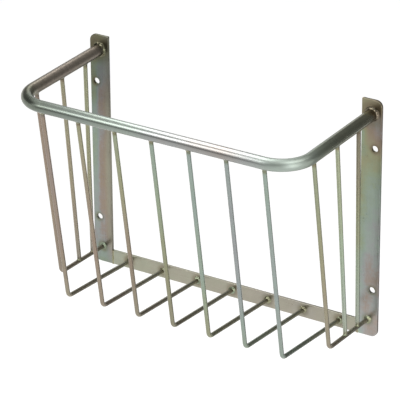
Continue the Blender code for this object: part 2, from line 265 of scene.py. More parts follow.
def zincMaterial(name, look):
    # bare metal under a coloured film, whose thickness picks the colour from its ramp
    material = bpy.data.materials.new(name)
    material.use_nodes = True
    tree = material.node_tree
    surface = tree.nodes["Principled BSDF"]
    place = addNode(tree, "ShaderNodeTexCoord").outputs["Object"]
    film, paintedShading, bare, scuff, soft, stain = (
        addNode(tree, "ShaderNodeAttribute", {"attribute_name": label}).outputs["Fac"]
        for label in ("film", "paintedShading", "bare", "scuff", "soft", "stain")
    )
    grain = addNode(tree, "ShaderNodeAttribute", {"attribute_name": "grain"}).outputs["Vector"]
    factors = {0: grain, 1: scratchStretch}
    acrossGrain = addNode(tree, "ShaderNodeVectorMath", {"operation": "MULTIPLY"}, factors).outputs[0]

    drift = noiseOf(tree, place, look["driftScale"], *noises["drift"])
    fleck, speckle, cloud, pits = (
        noiseOf(tree, place, *noises[label]) for label in ("fleck", "speckle", "cloud", "pits")
    )
    streak = noiseOf(tree, grain, *noises["streak"])
    scratch = noiseOf(tree, acrossGrain, *noises["scratch"])

    thickness = mathOf(tree, "ADD", film, centred(tree, drift, look["drift"]))
    thickness = mathOf(tree, "ADD", thickness, centred(tree, fleck, look["fleck"]))
    thickness = mathOf(tree, "MULTIPLY_ADD", stain, look["stainShift"], thickness)
    phase = mathOf(tree, "FRACT", thickness)
    ramp = addNode(tree, "ShaderNodeValToRGB", None, {"Fac": phase})
    ramp.color_ramp.elements.remove(ramp.color_ramp.elements[1])
    for index, (position, colour) in enumerate(filmColours):
        element = ramp.color_ramp.elements[0] if index == 0 else ramp.color_ramp.elements.new(position)
        element.position = position
        element.color = (*colour, 1.0)
    cover = mathOf(tree, "MULTIPLY_ADD", bare, -look["tint"], look["tint"])
    colour = mixOf(tree, cover, look["silver"], ramp.outputs["Color"])
    vivid = {"Saturation": look["vivid"], "Color": colour}
    colour = addNode(tree, "ShaderNodeHueSaturation", None, vivid).outputs["Color"]
    patchy = mathOf(tree, "MULTIPLY", stain, mathOf(tree, "MULTIPLY_ADD", cloud, *stainPatches))
    stained = mathOf(tree, "MULTIPLY", patchy, look["stain"])
    colour = mixOf(tree, stained, colour, stainColour)

    # lightness: the tone attribute brings in painted light and shade, the noises, scratches and stain are
    # the metal's own marks
    light = mathOf(tree, "ADD", centred(tree, streak, look["streak"]), paintedShading)
    light = mathOf(tree, "ADD", light, centred(tree, cloud, look["cloud"]))
    light = mathOf(tree, "ADD", light, centred(tree, speckle, look["speckle"]))
    scored = mathOf(tree, "MULTIPLY", scuff, centred(tree, scratch, scuffMarks))
    light = mathOf(tree, "ADD", light, scored)
    burn = mathOf(tree, "MULTIPLY", patchy, look["stainDark"])
    light = mathOf(tree, "MULTIPLY", light, mathOf(tree, "SUBTRACT", 1.0, burn))
    scaled = addNode(tree, "ShaderNodeVectorMath", {"operation": "SCALE"}, {0: colour, "Scale": light})
    tree.links.new(scaled.outputs[0], surface.inputs["Base Color"])

    rough = mathOf(tree, "ADD", centred(tree, cloud, look["roughnessDrift"]), look["roughness"])
    rough = mathOf(tree, "ADD", rough, centred(tree, streak, look["roughnessDrift"] / 2))
    rough = mathOf(tree, "MULTIPLY_ADD", scuff, scuffRoughness, rough)
    rough = mathOf(tree, "MULTIPLY_ADD", soft, softRoughness, rough)
    tree.links.new(rough, surface.inputs["Roughness"])
    height = mathOf(tree, "ADD", streak, pits)
    relief = {"Strength": look["bump"], "Distance": bumpDepth, "Height": height}
    bump = addNode(tree, "ShaderNodeBump", None, relief)
    tree.links.new(bump.outputs["Normal"], surface.inputs["Normal"])
    surface.inputs["Metallic"].default_value = 1.0
    return material


zinc = {slot: zincMaterial(slot + "_finish", look) for slot, look in finishes.items()}
print("finishes made")


# Where the flats and the tube lie, from the frame
frontFace, foot = boxOf("right_wall_bar")[0][1:]
railLow, railHigh = boxOf("top_rail")

rail = {
    "radius": 0.010,
    "wall": 0.002,
    "bendRadius": 0.0515,
    "sides": 56,
    "spacing": 0.0025,
    # marks from the left end round to the right end, by share of the tube's length
    "markAt": (0.00, 0.12, 0.20, 0.25, 0.30, 0.44, 0.53, 0.64, 0.71, 0.76, 0.85, 1.00),
    "film": (0.28, 0.24, 0.18, -0.16, -0.28, -0.36, -0.50, -0.54, -0.44, -0.32, -0.12, 0.06),
    # the tone is painted light and shade: darker at the left bend and along the right side, lighter where
    # the right bend glows
    "paintedShading": (0.85, 0.92, 0.86, 0.56, 0.66, 0.93, 1.00, 1.00, 1.10, 1.18, 0.76, 0.66),
    "scuff": (1.00, 1.00, 0.90, 0.50, 0.05, 0.00, 0.00, 0.00, 0.10, 0.15, 0.15, 0.30),
    "soft": (0.00, 0.00, 0.00, 0.00, 0.00, 0.00, 0.00, 0.05, 0.60, 1.00, 0.20, 0.05),
}
railHeight = (railLow[2] + railHigh[2]) / 2
sideX = railHigh[0] - rail["radius"]
railFrontY = railLow[1] + rail["radius"]


def makeRail():
    # rings out along the tube's outside and back along its bore, joined at both ends
    corners = [
        (-sideX, frontFace, railHeight),
        (-sideX, railFrontY, railHeight),
        (sideX, railFrontY, railHeight),
        (sideX, frontFace, railHeight),
    ]
    path, tangents = bentPath(corners, rail["bendRadius"], rail["spacing"])
    sides = rail["sides"]
    outer = ringsAlong(path, tangents, along["z"], rail["radius"], sides)
    inner = ringsAlong(path, tangents, along["z"], rail["radius"] - rail["wall"], sides)
    grid = np.concatenate([outer, inner[::-1]])
    reached = lengthAlong(path)
    share = reached / reached[-1]
    marks = {}
    for key in ("film", "paintedShading", "scuff", "soft"):
        part = np.interp(share, rail["markAt"], rail[key])
        marks[key] = np.repeat([*part, *part[::-1]], sides)
    offsets = outer - path[:, None, :]
    across = (offsets * np.cross(tangents, along["z"])[:, None, :]).sum(-1)
    lengths = np.broadcast_to(reached[:, None] * grainStretch, across.shape)
    grain = np.stack([lengths, across, offsets[..., 2]], -1)
    grain = np.concatenate([grain, grain[::-1]]).reshape(-1, 3)
    faces = [gridQuads(len(grid), sides, closedRows=True)]
    addPiece("rail_tube", "top_rail", grid, faces, "zinc_tube", grain, marks)


rods = {
    "radius": 0.0035,
    "bendRadius": 0.011,
    "sides": 28,
    "spacing": 0.0025,
    "frontCorner": (-0.185, 0.028),  # Y and height above the foot
    "frontBack": 0.0135,
    "sideTopBehindBend": 0.007,
    "sideCorner": (-0.129, 0.034),
    "sideBack": 0.029,
    "uprights": {"mid": (-0.113, -0.077), "rear": (-0.046, -0.038)},  # Y of top and foot
    # marks at the top, at two places on the way down, at the bend and at the wall
    "legMarks": (0.0, 0.35, 0.70, 1.0),  # the first four, by share of the way to the bend
    "straightMark": 0.8,  # where a rod without a bend has its fourth, by share of its length
    "film": {
        "front_rod_1": (0.30, 0.32, 0.28, 0.16, 0.04),
        "front_rod_2": (0.00, 0.18, 0.26, 0.22, 0.02),
        "front_rod_3": (-0.12, 0.06, 0.24, 0.16, 0.04),
        "front_rod_4": (-0.28, -0.14, 0.02, 0.06, 0.04),
        "front_rod_5": (-0.34, -0.33, -0.24, 0.00, 0.04),
        "front_rod_6": (-0.42, -0.44, -0.46, -0.22, 0.00),
        "front_rod_7": (-0.28, -0.38, -0.40, -0.32, 0.00),
        "left_side_rod": (0.27, 0.27, 0.24, 0.26, 0.04),
        "right_side_rod": (-0.10, -0.02, 0.10, 0.16, 0.04),
        "left_mid_upright": (0.07, 0.10, 0.12, 0.20, 0.27),
        "left_rear_upright": (-0.04, 0.00, 0.03, 0.10, 0.28),
        "right_mid_upright": (-0.06, -0.08, -0.18, -0.25, -0.25),
        "right_rear_upright": (0.16, 0.06, -0.08, -0.22, -0.26),
    },
    "bare": (0.0, 0.0, 0.0, 0.20, 0.60),
    # the tone is painted light and shade along each rod: darker round the bends and towards the top of
    # the right rear upright, lighter on the right mid upright
    "paintedShading": {
        "bent": (1.0, 1.0, 1.0, 0.92, 1.04),
        "front_rod_3": (1.0, 1.0, 0.90, 0.84, 1.00),
        "front_rod_4": (1.0, 1.0, 0.90, 0.84, 1.02),
        "straight": (1.0, 1.05, 1.05, 1.0, 1.0),
        "right_mid_upright": (1.15, 1.20, 1.20, 1.18, 1.15),
        "right_rear_upright": (0.60, 0.80, 0.98, 1.10, 1.12),
    },
}

# Weld beads by kind. The leg is how far a bead spreads from the corner it fills, hollow draws its slope
# in, uneven is how much its lumps change it, ripples is how many ripples run round it, ripple is their
# height, and fade is how far its stain goes.
beads = {
    # each kind's tone is painted shade that darkens its beads, most of all on the rail's ends
    "rail": {
        "leg": 0.0029, "hollow": 0.30, "uneven": 0.42, "ripples": 11, "ripple": 0.00020, "lumps": 8,
        "fade": 0.011, "film": 0.10, "paintedShading": 0.56,
    },
    "top": {
        "leg": 0.0026, "hollow": 0.45, "uneven": 0.14, "ripples": 22, "ripple": 0.00007, "lumps": 2,
        "fade": 0.002, "film": 0.00, "paintedShading": 0.95,
    },
    "back": {
        "leg": 0.0031, "hollow": 0.20, "uneven": 0.26, "ripples": 13, "ripple": 0.00014, "lumps": 4,
        "fade": 0.0042, "film": -0.06, "paintedShading": 0.80,
    },
    "foot": {
        "leg": 0.0020, "hollow": 0.30, "uneven": 0.14, "ripples": 20, "ripple": 0.00007, "lumps": 2,
        "fade": 0.003, "film": 0.00, "paintedShading": 0.85,
    },
}
flatRound = 100.0  # a flat face is taken as a round of this radius
beadShape = {
    "rows": 12,
    "columns": 168,
    "sink": 0.00025,  # how deep its hidden faces lie in the carrier
    "rodSink": 0.00005,  # and its upper rim in the rod
    "inward": 0.15,  # how far they reach into the rod, by share of its radius
    "slowWaves": (1, 2, 3, 5),
    "lumpSize": (0.4, 1.3),
    "lumpSpread": 0.30,  # radians round the rod
    "heightSpread": 0.25,
    "limits": (0.50, 1.35),  # of the leg, and the first of the height, by the kind's leg
    "chevron": 2.2,  # how far a ripple runs ahead in the middle of the slope, in radians
    "rippleEase": 0.7,  # the lower, the further a ripple keeps its height towards the rims
    "bulge": 0.25,  # by share of the leg
    "bulgeUneven": 0.1,
    "bulgeLimits": (-0.1, 0.4),
    "filmDrift": 0.10,  # from bead to bead, in steps of so many radians of a sine
    "filmStep": 2.4,
    "firstSeed": 100,
}
beadList = []


def planBead(name, kind, seat, axis, rodRadius, carrierAlong, carrierRadius):
    # keeps where a bead goes, so that it can stain the pieces round it
    beadList.append((name, kind, seat, axis, rodRadius, carrierAlong, carrierRadius))
    stains.append((seat, rodRadius + beads[kind]["leg"], beads[kind]["fade"]))


def seatOnRound(point, before, carrierAlong, carrierRadius):
    # where an axis that heads for a point on the carrier's centre line meets the carrier's surface
    heading = unit(point - before)
    cosine = np.linalg.norm(np.cross(heading, carrierAlong))
    return point - heading * carrierRadius / cosine, -heading


def beadGrid(kind, seat, axis, rodRadius, carrierAlong, carrierRadius, seed):
    # A closed ring of weld metal round a rod, on a round or flat carrier. The carrier's surface is
    # centre + p * along + radius * (cos(q / radius) * outward + sin(q / radius) * sideways), and the
    # rod's surface meets it in a footprint, from which the toe lies one leg further out in p and q.
    # The slope is the curve (1 - w)^2 * rod side + 2 * w * (1 - w) * middle + w^2 * toe.
    bead, shape = beads[kind], beadShape
    rng = np.random.default_rng(seed)
    turn = np.linspace(0, fullTurn, shape["columns"], endpoint=False)
    outward = unit(axis - (axis @ carrierAlong) * carrierAlong)
    sideways = np.cross(carrierAlong, outward)
    first = unit(carrierAlong - (carrierAlong @ axis) * axis)
    second = np.cross(axis, first)

    def surfaceAt(p, q, depth):
        angle = (q / carrierRadius)[:, None]
        reach = carrierRadius + depth
        lifted = reach * (np.cos(angle) * outward + np.sin(angle) * sideways) - carrierRadius * outward
        return seat + p[:, None] * carrierAlong + lifted

    def waves(spread):
        # slow cosines and a few lumps, size * exp(-(angle away / spread) squared), less their mean
        slow = shape["slowWaves"]
        wave = sum(rng.normal() * np.cos(k * turn + rng.uniform(0, fullTurn)) / k for k in slow)
        for _ in range(bead["lumps"]):
            away = np.abs((turn - rng.uniform(0, fullTurn) + math.pi) % fullTurn - math.pi)
            wave = wave + rng.uniform(*shape["lumpSize"]) * np.exp(-((away / spread) ** 2))
        return wave - wave.mean()

    radial = np.cos(turn)[:, None] * first + np.sin(turn)[:, None] * second
    offset = rodRadius * radial
    angle = np.arcsin(np.clip(offset @ sideways / carrierRadius, -1, 1))
    rise = (carrierRadius * (np.cos(angle) - 1) - offset @ outward) / (axis @ outward)
    footP, footQ = offset @ carrierAlong + rise * (axis @ carrierAlong), carrierRadius * angle
    away = np.hypot(footP, footQ)
    least, most = (limit * bead["leg"] for limit in shape["limits"])
    leg = np.clip(bead["leg"] * (1 + bead["uneven"] * waves(shape["lumpSpread"])), least, most)
    height = np.clip(bead["leg"] * (1 + bead["uneven"] * waves(shape["heightSpread"])), least, None)
    toeP, toeQ = footP * (1 + leg / away), footQ * (1 + leg / away)

    corner = surfaceAt(footP, footQ, 0.0)
    rodSide = corner + height[:, None] * axis - shape["rodSink"] * radial
    toe = surfaceAt(toeP, toeQ, 0.0)
    middle = (rodSide + toe) / 2 + bead["hollow"] * (corner - (rodSide + toe) / 2)
    way = np.linspace(0, 1, shape["rows"])[:, None, None]
    slope = (1 - way) ** 2 * rodSide + 2 * way * (1 - way) * middle + way**2 * toe
    outwards = unit((rodSide + toe) / 2 - corner)
    arch = np.sin(math.pi * way)
    chevron = np.cos(bead["ripples"] * turn[None, :] - shape["chevron"] * arch[..., 0])
    rippled = bead["ripple"] * arch ** shape["rippleEase"] * chevron[..., None]
    swell = shape["bulgeUneven"] * waves(shape["lumpSpread"]) - bead["hollow"]
    bulge = shape["bulge"] * bead["leg"] * np.clip(swell, *shape["bulgeLimits"])
    slope = slope + (rippled + bulge[None, :, None] * arch) * outwards
    within = 1 - shape["inward"]
    hidden = [
        surfaceAt(toeP, toeQ, -shape["sink"]),
        surfaceAt(footP * within, footQ * within, -shape["sink"]),
        rodSide - shape["inward"] * offset,
    ]
    return np.concatenate([slope, np.array(hidden)])


def makeBeads():
    for index, (name, kind, *where) in enumerate(beadList):
        grid = beadGrid(kind, *where, seed=beadShape["firstSeed"] + index)
        faces = [gridQuads(*grid.shape[:2], closedRows=True)]
        film = beads[kind]["film"] + beadShape["filmDrift"] * math.sin(beadShape["filmStep"] * index)
        marks = {"film": film, "paintedShading": beads[kind]["paintedShading"]}
        addPiece(name + "_bead", name, grid, faces, "zinc_weld", grid.reshape(-1, 3), marks, sharp=70)


def makeRod(name, corners):
    # a round rod along its bent centre line, its ends closed by flat faces
    path, tangents = bentPath(corners, rods["bendRadius"], rods["spacing"])
    sides = rods["sides"]
    grid = ringsAlong(path, tangents, along["x"], rods["radius"], sides)
    reached = lengthAlong(path)
    offsets = grid - path[:, None, :]
    across = (offsets * np.cross(tangents, along["x"])[:, None, :]).sum(-1)
    lengths = np.broadcast_to(reached[:, None] * grainStretch, across.shape)
    grain = np.stack([offsets[..., 0] + corners[0][0], across, lengths], -1).reshape(-1, 3)
    shape, bend = "straight", rods["straightMark"]
    if len(corners) > 2:
        shape, bend = "bent", np.linalg.norm(np.subtract(corners[1], corners[0])) / reached[-1]
    markAt = [*(part * bend for part in rods["legMarks"]), 1.0]
    paintedShading = rods["paintedShading"].get(name, rods["paintedShading"][shape])
    marks = {"film": rods["film"][name], "paintedShading": paintedShading, "bare": rods["bare"]}
    share = reached / reached[-1]
    marks = {key: np.repeat(np.interp(share, markAt, values), sides) for key, values in marks.items()}
    addPiece(name + "_bar", name, grid, cappedQuads(len(path), sides), "zinc_rod", grain, marks)


rodList = []


def planBentRod(name, x, topY, cornerY, cornerHeight, backHeight, railAlong):
    # from under the rail down to the corner and back to a flat, with a bead at each end
    top = np.array((x, topY, railHeight))
    corner = np.array((x, cornerY, foot + cornerHeight))
    back = np.array((x, frontFace, foot + backHeight))
    upper, upAxis = seatOnRound(top, corner, railAlong, rail["radius"])
    rodList.append((name, [upper, corner, back]))
    planBead(name + "_top_weld", "top", upper, upAxis, rods["radius"], railAlong, rail["radius"])
    backAxis = unit(corner - back)
    planBead(name + "_back_weld", "back", back, backAxis, rods["radius"], along["x"], flatRound)


def planRods():
    # the fronts stand where the frame has them, the sides and uprights under the rail's sides
    rodRadius = rods["radius"]
    frontY, frontHeight = rods["frontCorner"]
    sideTopY = railFrontY + rail["bendRadius"] + rods["sideTopBehindBend"]
    sideY, sideHeight = rods["sideCorner"]
    for number in range(1, 8):
        name = f"front_rod_{number}"
        low, high = boxOf(name)
        x = (low[0] + high[0]) / 2
        planBentRod(name, x, railFrontY, frontY, frontHeight, rods["frontBack"], along["x"])
    for side, x in (("left", -sideX), ("right", sideX)):
        planBentRod(side + "_side_rod", x, sideTopY, sideY, sideHeight, rods["sideBack"], along["y"])
        corner = np.array((x, sideY, foot + sideHeight))
        back = np.array((x, frontFace, foot + rods["sideBack"]))
        run = unit(back - corner)
        for place, (topY, footY) in rods["uprights"].items():
            name = f"{side}_{place}_upright"
            lower = corner + (back - corner) * (footY - sideY) / (frontFace - sideY)
            top = np.array((x, topY, railHeight))
            upperSeat, upAxis = seatOnRound(top, lower, along["y"], rail["radius"])
            lowerSeat, downAxis = seatOnRound(lower, top, run, rodRadius)
            rodList.append((name, [upperSeat, lowerSeat]))
            planBead(name + "_top_weld", "top", upperSeat, upAxis, rodRadius, along["y"], rail["radius"])
            planBead(name + "_foot_weld", "foot", lowerSeat, downAxis, rodRadius, run, rodRadius)


def planRailWelds():
    for side, x in (("left", -sideX), ("right", sideX)):
        seat = np.array((x, frontFace, railHeight))
        planBead(side + "_rail_weld", "rail", seat, -along["y"], rail["radius"], along["x"], flatRound)


wallBar = {
    "cornerRadius": 0.011,
    "innerCorner": 0.0009,
    "edgeRadius": 0.0006,
    "holeRadius": 0.0055,
    "holeRim": 0.0004,
    "holeToEdge": 0.011,
    "holeToEnd": 0.082,
    "sideSteps": 110,
    "faceRows": 42,
    "cornerSteps": 14,
    "innerSteps": 5,
    "edgeSteps": 5,
    "endSteps": 8,
    "seamSteps": 12,
    "holeFade": 0.0035,
    "bare": 0.20,
    # by share of the width from the inner edge: where its marks set in and where they are full, and
    # the same for the outer edge's
    "innerBand": (0.40, 0.10),
    "outerBand": (0.56, 0.76),
    # marks by share of height from the foot; the film at the inner edge, the middle and the outer
    "heightAt": (0.0, 0.12, 0.30, 0.50, 0.62, 0.74, 0.86, 1.0),
    # the tone is painted shade and light: the left bar darker towards its top, the right one lighter
    # towards its foot
    "left": {
        "inner": (0.70, 0.12, 0.12, 0.12, 0.20, 0.22, 0.60, 0.98),
        "middle": (0.78, 0.42, 0.34, 0.38, 0.46, 0.40, 0.60, 0.98),
        "outer": (0.72, 0.55, 0.60, 0.76, 0.66, 0.82, 0.80, 1.02),
        "paintedShading": (0.80, 0.95, 1.00, 0.95, 0.88, 0.62, 0.50, 0.58),
        "innerBare": 0.70,
    },
    "right": {
        "inner": (0.60, 0.55, 0.66, 0.80, 0.85, 1.02, 0.76, 1.10),
        "middle": (0.44, 0.40, 0.44, 0.68, 0.70, 0.95, 1.25, 1.13),
        "outer": (0.48, 0.44, 0.50, 0.62, 0.75, 0.98, 1.38, 1.20),
        "paintedShading": (1.10, 1.12, 1.04, 1.02, 1.00, 0.98, 0.95, 1.00),
        "innerBare": 0.20,
    },
}


def planHoles():
    for side, sign in (("left", -1), ("right", 1)):
        low, high = boxOf(side + "_wall_bar")
        x = (high if sign > 0 else low)[0] - sign * wallBar["holeToEdge"]
        for z in (low[2] + wallBar["holeToEnd"], high[2] - wallBar["holeToEnd"]):
            stains.append((np.array((x, frontFace, z)), wallBar["holeRadius"], wallBar["holeFade"]))


def barOutline(inset, width, half, holeX, holeZ):
    # Half a bar's outline from its middle line round its end, each point moved in by the inset. A
    # side's points are spread as hole height + spread * sinh(s), which makes them look evenly spaced
    # from the hole, and a corner is centre + (radius - inset) * (cos, sin).
    outer, inner = wallBar["cornerRadius"], wallBar["innerCorner"]
    spread = width / 2 - holeX

    def sidePoints(top):
        ends = math.asinh(-holeZ / spread), math.asinh((top - holeZ) / spread)
        return holeZ + spread * np.sinh(np.linspace(*ends, wallBar["sideSteps"]))

    outerZ, innerZ = sidePoints(half - outer), sidePoints(half - inner)[::-1]
    outerTurn = np.linspace(0, math.pi / 2, wallBar["cornerSteps"])[1:]
    innerTurn = np.linspace(math.pi / 2, math.pi, wallBar["innerSteps"])[:-1]
    endX = np.linspace(width / 2 - outer, -width / 2 + inner, wallBar["endSteps"])[1:-1]
    seamX = np.linspace(-width / 2 + inset, width / 2 - inset, wallBar["seamSteps"])[1:-1]
    x = np.concatenate([
        np.full(len(outerZ), width / 2 - inset),
        width / 2 - outer + (outer - inset) * np.cos(outerTurn),
        endX,
        -width / 2 + inner + (inner - inset) * np.cos(innerTurn),
        np.full(len(innerZ), -width / 2 + inset),
        seamX,
    ])
    z = np.concatenate([
        outerZ,
        half - outer + (outer - inset) * np.sin(outerTurn),
        np.full(len(endX), half - inset),
        half - inner + (inner - inset) * np.sin(innerTurn),
        innerZ,
        np.zeros(len(seamX)),
    ])
    return np.stack([x, z], axis=-1)


def barHalf(width, half, thickness):
    # Half a wall bar with its hole, as a closed grid: over the front face, round the edge, over the
    # back face and through the hole. A face's points are hole rim + t * (outline - hole rim).
    holeX, holeZ = width / 2 - wallBar["holeToEdge"], half - wallBar["holeToEnd"]
    hole = np.array((holeX, holeZ))
    edge, rim = wallBar["edgeRadius"], wallBar["holeRim"]
    turns = np.linspace(0, math.pi / 2, wallBar["edgeSteps"])[1:]
    flat = barOutline(edge, width, half, holeX, holeZ)
    ray = unit(flat - hole)
    rimFlat = hole + (wallBar["holeRadius"] + rim) * ray
    share = np.linspace(0, 1, wallBar["faceRows"])[:, None, None]
    face = rimFlat + share * (flat - rimFlat)
    roundedEdge = [barOutline(edge * (1 - math.sin(a)), width, half, holeX, holeZ) for a in turns]
    bore = [hole + (wallBar["holeRadius"] + rim * (1 - math.sin(a))) * ray for a in turns]
    sheets = [face, roundedEdge, roundedEdge[::-1], face[::-1], bore, bore[::-1]]
    edgeDepth, boreDepth = edge * (1 - np.cos(turns)), rim * (1 - np.cos(turns))
    depths = [
        np.zeros(len(face)),
        edgeDepth,
        thickness - edgeDepth[::-1],
        np.full(len(face), thickness),
        thickness - boreDepth,
        boreDepth[::-1],
    ]
    flatPoints = np.concatenate([np.asarray(sheet) for sheet in sheets])
    depth = np.broadcast_to(np.concatenate(depths)[:, None], flatPoints.shape[:2])
    return np.stack([flatPoints[..., 0], depth, flatPoints[..., 1]], axis=-1)


def shareWithin(out, band):
    # nought at the band's first place, one at its second, straight between and held beyond
    start, full = band
    return np.clip((out - start) / (full - start), 0, 1)


def makeWallBar(side, sign):
    # two halves that meet in the middle of its height, the upper one and its mirror image
    low, high = boxOf(side + "_wall_bar")
    width, half, thickness = high[0] - low[0], (high[2] - low[2]) / 2, high[1] - low[1]
    grid = barHalf(width, half, thickness)
    rows, columns = grid.shape[:2]
    points = grid.reshape(-1, 3)
    quads = gridQuads(rows, columns, closedRows=True)
    onSeam = np.abs(points[:, 2]) < 1e-9
    quads = quads[~onSeam[quads].all(axis=1)]  # the halves are open where they meet
    mirrored = points * (1, 1, -1)
    joined = np.where(onSeam, np.arange(len(points)), np.arange(len(points)) + len(points))
    quads = np.concatenate([quads, joined[quads][:, ::-1]])
    used, quads = np.unique(quads, return_inverse=True)
    points = np.concatenate([points, mirrored])[used]
    quads = quads.reshape(-1, 4)
    points = points * (sign, 1, 1) + ((low[0] + high[0]) / 2, low[1], (low[2] + high[2]) / 2)
    up = (points[:, 2] - low[2]) / (high[2] - low[2])
    out = sign * (points[:, 0] - (low[0] if sign > 0 else high[0])) / width
    look = wallBar[side]
    inner, middle, outer, paintedShading = (
        np.interp(up, wallBar["heightAt"], look[key]) for key in ("inner", "middle", "outer", "paintedShading")
    )
    nearInner, nearOuter = (shareWithin(out, wallBar[band]) for band in ("innerBand", "outerBand"))
    film = middle + (inner - middle) * nearInner + (outer - middle) * nearOuter
    bare = wallBar["bare"] + (look["innerBare"] - wallBar["bare"]) * nearInner
    marks = {"film": film, "paintedShading": paintedShading, "bare": bare}
    grain = points * (1, 1, grainStretch)
    name = side + "_wall_bar"
    addPiece(side + "_wall_flat", name, points, [quads], "zinc_flat_bar", grain, marks, sharp=30)


crossbar = {
    "edgeRadius": 0.0006,
    "spacing": 0.003,
    "faceSteps": 10,
    "sideSteps": 3,
    "edgeSteps": 5,
    "filmAt": (0.0, 0.12, 0.35, 0.6, 0.8, 1.0),
    "film": (0.94, 1.02, 1.12, 1.24, 1.30, 1.10),
    # a tone above one is painted light that lifts the whole bar
    "paintedShading": 1.06,
    "bare": 0.70,
}


def makeCrossbar():
    # a rectangle with eased corners, carried along X
    low, high = boxOf("bottom_crossbar")
    edge = crossbar["edgeRadius"]
    centres = np.array([
        (high[1] - edge, high[2] - edge), (low[1] + edge, high[2] - edge),
        (low[1] + edge, low[2] + edge), (high[1] - edge, low[2] + edge),
    ])
    profile = []
    for corner, centre in enumerate(centres):
        turn = np.linspace(0, math.pi / 2, crossbar["edgeSteps"])[:, None] + corner * math.pi / 2
        profile.append(centre + edge * np.concatenate([np.cos(turn), np.sin(turn)], axis=1))
        steps = crossbar["faceSteps" if corner % 2 else "sideSteps"]
        following = centres[(corner + 1) % 4]
        swing = (corner + 1) * math.pi / 2
        shift = edge * np.array((math.cos(swing), math.sin(swing)))
        share = np.linspace(0, 1, steps + 2)[1:-1, None]
        profile.append(centre + shift + share * (following - centre))
    profile = np.concatenate(profile)
    x = np.linspace(low[0], high[0], 1 + round((high[0] - low[0]) / crossbar["spacing"]))
    rows, columns = len(x), len(profile)
    points = np.empty((rows, columns, 3))
    points[..., 0] = x[:, None]
    points[..., 1:] = profile[None]
    points = points.reshape(-1, 3)
    faces = cappedQuads(rows, columns)
    film = np.interp((points[:, 0] - low[0]) / (high[0] - low[0]), crossbar["filmAt"], crossbar["film"])
    marks = {"film": film, "paintedShading": crossbar["paintedShading"], "bare": crossbar["bare"]}
    grain = points * (grainStretch, 1, 1)
    addPiece("bottom_flat", "bottom_crossbar", points, faces, "zinc_flat_bar", grain, marks, sharp=30)


buttWeld = {
    "width": 0.0042,
    "crown": 0.0007,  # how far it stands out
    "crownSink": 0.0001,
    "root": 0.0011,  # half of the root's width
    "rootSink": 0.0004,
    "ripples": 17,
    "rippleShare": 0.28,  # of the crown
    "chevron": 1.6,  # how far a ripple runs ahead in the middle, in radians
    "wanders": 1.7,
    "wanderShare": 0.12,  # of the width
    "rows": 90,
    "columns": 13,
    "seed": 7,
    "film": 0.05,
}


def makeButtWelds():
    # Two upright seams on roots that fill the joints. The crown stands out by crown * (1 - a squared)
    # * ripple, with a from -1 to 1 across, and the ripple is a cosine of the height that runs ahead
    # in the middle.
    look = buttWeld
    for side, sign in (("left", -1), ("right", 1)):
        name = side + "_crossbar_weld"
        low, high = boxOf(name)
        middle = (low[0] + high[0]) / 2
        rng = np.random.default_rng(look["seed"] + sign)
        z = np.linspace(low[2], high[2], look["rows"])[:, None]
        share = (z - low[2]) / (high[2] - low[2])
        across = np.linspace(-1, 1, look["columns"])[None, :]
        arch = 1 - across**2
        phase = fullTurn * look["ripples"] * share - look["chevron"] * arch
        ripple = 1 + look["rippleShare"] * np.cos(phase)
        wave = np.sin(fullTurn * look["wanders"] * share + rng.uniform(0, fullTurn))
        wander = 1 + look["wanderShare"] * wave
        crownX = middle + across * look["width"] / 2 * wander
        crownY = frontFace - look["crown"] * arch * ripple + look["crownSink"]
        rootX = middle + look["root"] * np.array((1, 1, -1, -1))
        rootTop = frontFace + look["rootSink"]
        rootY = np.array((rootTop, high[1], high[1], rootTop))
        x = np.concatenate([crownX, np.broadcast_to(rootX, (len(z), 4))], axis=1)
        y = np.concatenate([crownY, np.broadcast_to(rootY, (len(z), 4))], axis=1)
        points = np.stack([x, y, np.broadcast_to(z, x.shape)], axis=-1).reshape(-1, 3)
        faces, marks = cappedQuads(*x.shape), {"film": look["film"]}
        addPiece(name + "_bead", name, points, faces, "zinc_weld", points, marks, sharp=60)


planRods()
planRailWelds()
planHoles()
makeRail()
for name, corners in rodList:
    makeRod(name, corners)
makeBeads()
print("tube,", len(rodList), "rods and", len(beadList), "beads made")
makeWallBar("left", -1)
makeWallBar("right", 1)
makeCrossbar()
makeButtWelds()
print("flat bars made")


